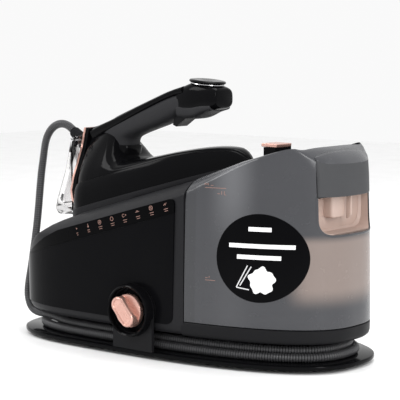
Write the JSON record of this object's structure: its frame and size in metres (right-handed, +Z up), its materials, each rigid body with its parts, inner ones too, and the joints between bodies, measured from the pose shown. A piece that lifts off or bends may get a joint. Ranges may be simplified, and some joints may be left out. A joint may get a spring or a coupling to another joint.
{
  "type": "steam generator iron",
  "caption": "Steam generator iron: hand iron resting on a sloping base station with boiler, removable smoky water tank, hose groove, iron lock and descaling knob.",
  "frame": {"origin": "on the ground, under the middle of the base station's length and width", "axes": "+X along the length towards the water tank's end and the iron's nose, +Z up, -Y towards the side with the descaling knob"},
  "size_m": [0.4846, 0.262, 0.3073],
  "materials": {
    "gloss_black": "high gloss",
    "satin_black": "satin",
    "grey_matte": "matte",
    "rose_gold": "satin metallic",
    "smoky_clear": "smoky translucent",
    "heel_clear": "smoky translucent",
    "rose_plastic": "satin",
    "rubber_black": "matte",
    "hose_braid": "ribbed satin",
    "steel": "brushed",
    "cast_metal": "cast",
    "jacket": "felt",
    "circuit": "matte",
    "inner_plastic": "matte",
    "copper_pipe": "drawn",
    "clear_pipe": "silicone"
  },
  "bodies": {
    "base": {"base_plate": "gloss_black", "rubber_feet": "rubber_black", "hose_drum": "satin_black", "chassis_tray": "satin_black", "body_shell": "satin_black", "front_panel": "gloss_black", "rear_panel": "gloss_black", "control_strip": "gloss_black", "control_pcb": "circuit", "deck": "satin_black", "rest_pads": "rubber_black", "knob_bracket": "satin_black", "knob_collar": "gloss_black", "collector_tube": "steel", "boiler": "steel", "boiler_heater": "steel", "boiler_jacket": "jacket", "water_pump": "inner_plastic", "power_board": "circuit", "solenoid_valve": "inner_plastic", "steam_pipe": "copper_pipe", "water_pipe": "clear_pipe", "tank_coupling": "inner_plastic", "cord_gland": "satin_black", "body_screws": "steel", "lock_guide": "satin_black", "hose_lead": "hose_braid", "hose_winding": "hose_braid"},
    "lock": {"lock_slider": "gloss_black", "lock_cap": "rose_gold"},
    "knob_stem": {"knob_stem": "inner_plastic", "stem_seal": "rubber_black"},
    "knob_cap": {"knob_cap": "rose_gold"},
    "tank": {"tank_shell": "smoky_clear", "tank_base": "satin_black", "tank_valve": "steel", "valve_seal": "rubber_black", "tank_grip": "rose_plastic", "flap_pin": "steel"},
    "tank_flap": {"tank_flap": "grey_matte"},
    "iron": {"soleplate": "steel", "heating_body": "cast_metal", "steam_cover": "cast_metal", "iron_skirt": "gloss_black", "iron_shell": "gloss_black", "handle_shell": "gloss_black", "soft_grip": "grey_matte", "handle_pad": "grey_matte", "tip_block": "gloss_black", "heel_stand": "heel_clear", "rear_rim": "rose_gold", "hose_relief": "rubber_black", "microswitch": "inner_plastic", "trigger_pin": "steel"},
    "trigger": {"trigger": "satin_black"},
    "shot_button": {"shot_button": "satin_black"}
  },
  "joints": [
    {"name": "iron_lift", "type": "slide", "parent": "base", "child": "iron", "axis": [0, 0, 1], "range_m": [0, 0.12], "deforming": ["hose_lead"]},
    {"name": "trigger_pull", "type": "hinge", "parent": "iron", "child": "trigger", "pos_m": [0.006, 0, 0.276], "axis": [0, 1, 0], "range_deg": [0, 7], "stiffness_Nm_per_rad": 1.5},
    {"name": "shot_press", "type": "slide", "parent": "iron", "child": "shot_button", "axis": [-0.1045, 0, -0.9945], "range_m": [0, 0.0015], "stiffness_N_per_m": 800},
    {"name": "tank_slide", "type": "slide", "parent": "base", "child": "tank", "axis": [1, 0, 0], "range_m": [0, 0.18]},
    {"name": "flap_hinge", "type": "hinge", "parent": "tank", "child": "tank_flap", "pos_m": [0.1975, 0, 0.229], "axis": [0, -1, 0], "range_deg": [0, 100]},
    {"name": "lock_slide", "type": "slide", "parent": "base", "child": "lock", "axis": [-0.9617, 0, -0.2741], "range_m": [0, 0.007]},
    {"name": "knob_pull", "type": "slide", "parent": "base", "child": "knob_stem", "axis": [0, -1, 0], "range_m": [0, 0.06]},
    {"name": "knob_turn", "type": "hinge", "parent": "knob_stem", "child": "knob_cap", "pos_m": [-0.005, -0.114, 0.054], "axis": [0, -1, 0], "range_deg": [0, 120]}
  ]
}
